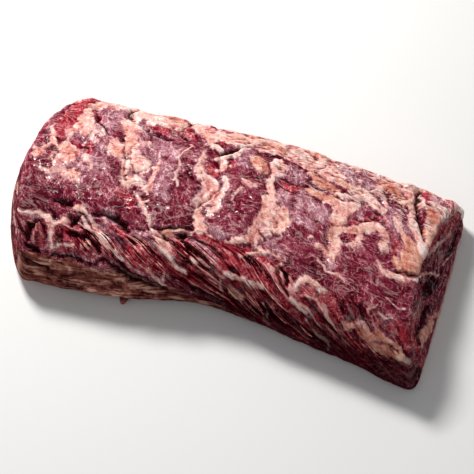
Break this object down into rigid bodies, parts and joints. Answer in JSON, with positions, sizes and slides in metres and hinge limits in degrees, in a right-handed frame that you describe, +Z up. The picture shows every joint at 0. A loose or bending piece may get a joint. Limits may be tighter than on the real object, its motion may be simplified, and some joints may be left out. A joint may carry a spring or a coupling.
{
  "type": "raw beef striploin",
  "caption": "Whole raw boneless beef loin muscle lying bone side up on its fat cap, cut square at both ends, flat underneath to rest on a board or tray.",
  "frame": {"origin": "on the table plane under the middle of the slab, on its flat underside", "axes": "+X along the slab towards the squarer cut end, +Y towards the low back edge with the strip of fat, +Z up"},
  "size_m": [0.4448, 0.2258, 0.0837],
  "materials": {
    "lean": "moist raw lean beef, dark red with a purple bloom and pale marbling, soft wet gloss",
    "fat": "cream to pink-tan beef fat, waxy and slightly moist"
  },
  "bodies": {
    "root": {"lean": "lean", "fat_cap": "fat"}
  },
  "joints": []
}
